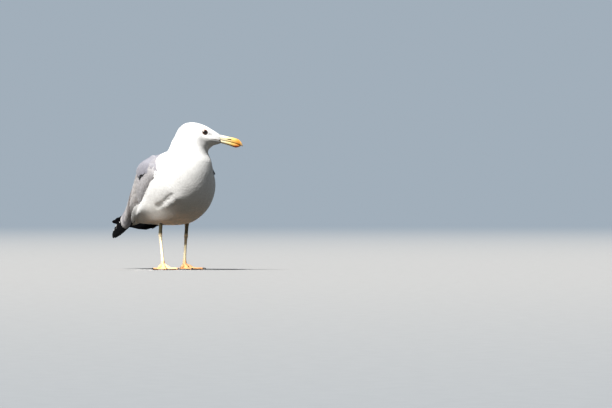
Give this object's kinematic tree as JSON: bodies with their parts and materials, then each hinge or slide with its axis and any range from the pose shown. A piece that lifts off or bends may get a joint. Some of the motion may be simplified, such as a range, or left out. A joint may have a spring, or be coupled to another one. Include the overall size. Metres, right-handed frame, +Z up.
{
  "type": "yellow-legged gull",
  "caption": "Life-size standing gull with folded wings, head turned to its left, webbed feet flat on the floor",
  "frame": {"origin": "on the floor, below the centre of the bounding box", "axes": "+X is the way the trunk faces, +Y is the bird's left, +Z is up"},
  "size_m": [0.446, 0.1852, 0.3236],
  "materials": {
    "white_plumage": "soft matte feather",
    "grey_plumage": "soft matte feather",
    "black_plumage": "smooth flight feather",
    "bill_horn": "smooth horn",
    "eye": "wet and clear",
    "leg_skin": "scaly skin",
    "claw_horn": "horn"
  },
  "bodies": {
    "root": {"trunk": "white_plumage", "neck": "white_plumage", "head": "white_plumage", "tail": "white_plumage", "wing_left": "grey_plumage", "wing_right": "grey_plumage", "wing_tip_left": "black_plumage", "wing_tip_right": "black_plumage", "bill_upper": "bill_horn", "bill_lower": "bill_horn", "eye_left": "eye", "eye_right": "eye", "shank_left": "leg_skin", "shank_right": "leg_skin", "tarsus_left": "leg_skin", "tarsus_right": "leg_skin", "foot_left": "leg_skin", "foot_right": "leg_skin", "claw_left_outer": "claw_horn", "claw_left_middle": "claw_horn", "claw_left_inner": "claw_horn", "claw_right_outer": "claw_horn", "claw_right_middle": "claw_horn", "claw_right_inner": "claw_horn"}
  },
  "joints": []
}
